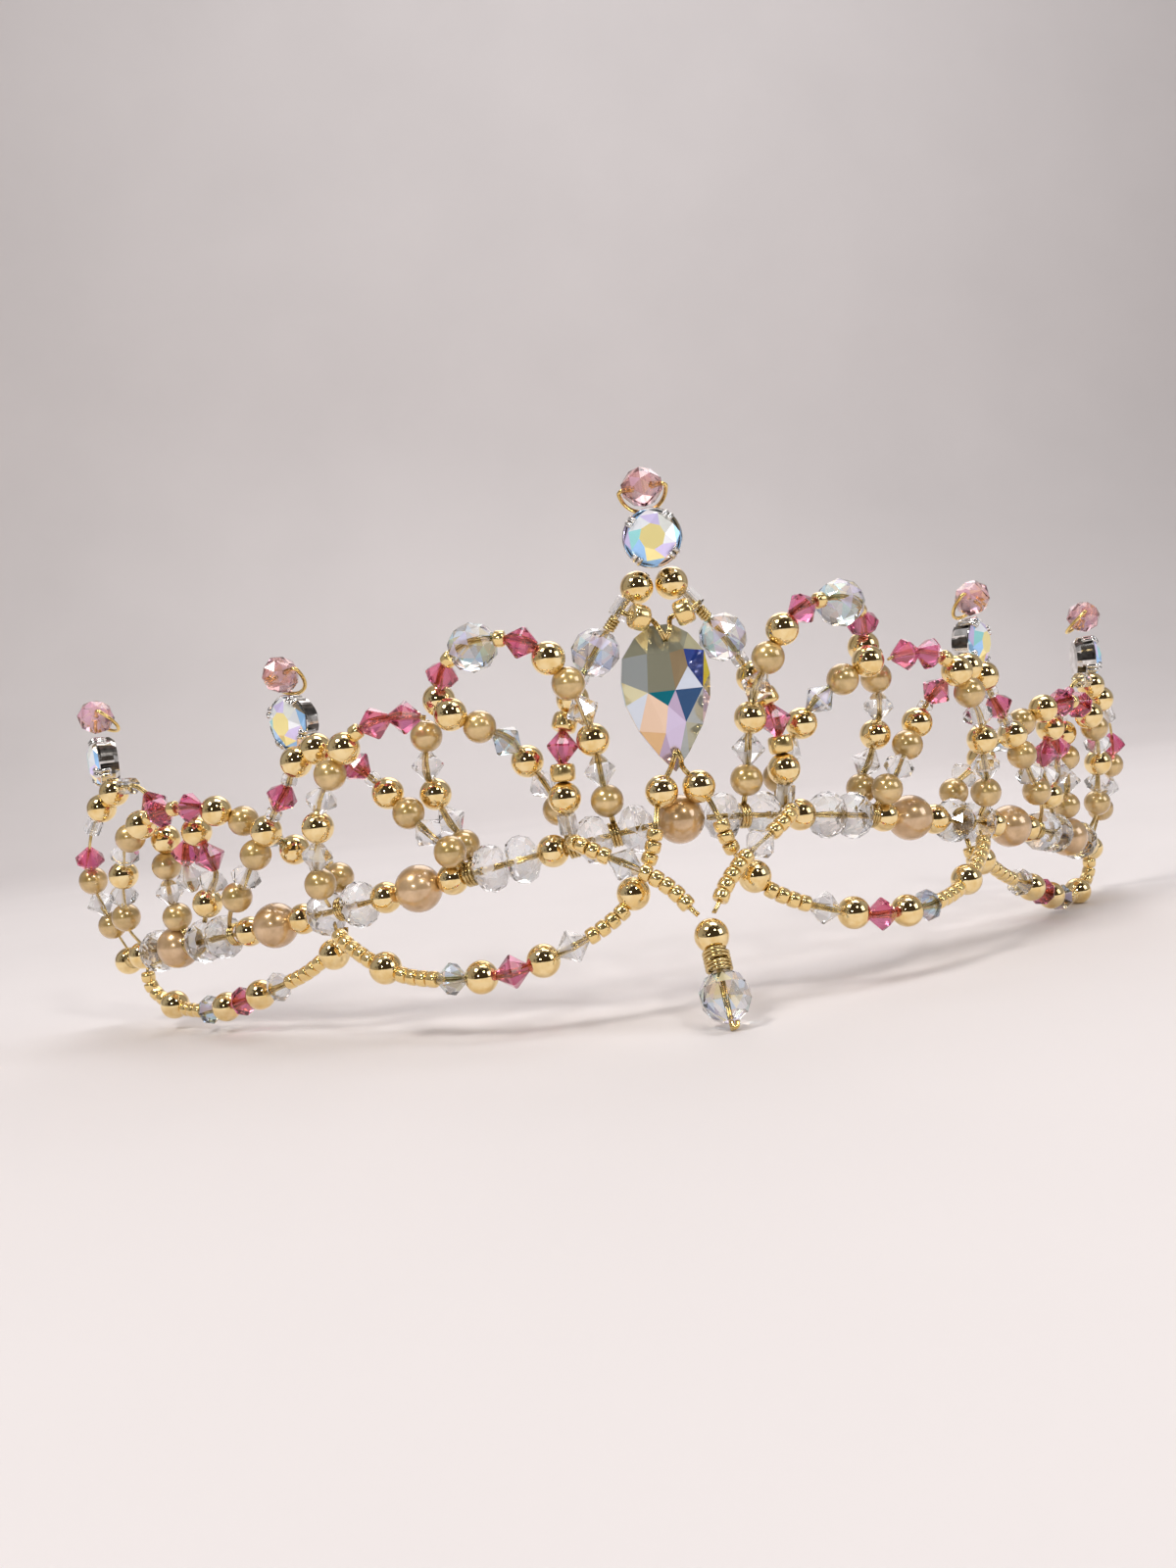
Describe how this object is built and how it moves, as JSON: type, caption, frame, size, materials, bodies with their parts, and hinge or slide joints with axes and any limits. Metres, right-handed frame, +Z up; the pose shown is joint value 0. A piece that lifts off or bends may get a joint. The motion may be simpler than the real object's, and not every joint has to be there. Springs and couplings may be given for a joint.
{
  "type": "beaded tiara",
  "caption": "Open-backed tiara of bead strings wired to a curved band of faceted rondelles and pearls, with a cut centre stone, set stones on posts, hanging swags and a drop.",
  "frame": {"origin": "bottom centre of the bounding box, on the surface the tiara rests on", "axes": "+X to the wearer's left as worn and the viewer's right, +Y to the back of the head, +Z up at rest"},
  "size_m": [0.1604, 0.0636, 0.0649],
  "materials": {
    "gold": "polished gilt beads and wire",
    "pearl": "bronze pearl lustre",
    "clear": "clear cut glass with a rainbow coating",
    "rose": "light rose cut glass",
    "silver": "plated claw cup with its stone"
  },
  "bodies": {
    "root": {"arch_left": "gold", "arch_right": "gold", "band_left": "gold", "band_right": "gold", "brace_inner_left": "gold", "brace_inner_right": "gold", "brace_middle_left": "gold", "brace_middle_right": "gold", "bridge_left": "gold", "bridge_right": "gold", "centre_stone": "clear", "crown_left": "gold", "crown_right": "gold", "diamond_inner_left": "gold", "diamond_inner_right": "gold", "diamond_outer_left": "gold", "diamond_outer_right": "gold", "drape_left": "gold", "drape_right": "gold", "end_peak_left": "gold", "end_peak_right": "gold", "end_swag_left": "gold", "end_swag_right": "gold", "hanger_left": "gold", "hanger_right": "gold", "middle_pearl": "pearl", "peak_left": "gold", "peak_right": "gold", "pendant": "clear", "set_stone_centre": "silver", "set_stone_end_left": "silver", "set_stone_end_right": "silver", "set_stone_post_left": "silver", "set_stone_post_right": "silver", "side_arch_left": "gold", "side_arch_right": "gold", "swag_left": "gold", "swag_right": "gold", "tip_bead_centre": "rose", "tip_bead_end_left": "rose", "tip_bead_end_right": "rose", "tip_bead_post_left": "rose", "tip_bead_post_right": "rose"}
  },
  "joints": []
}
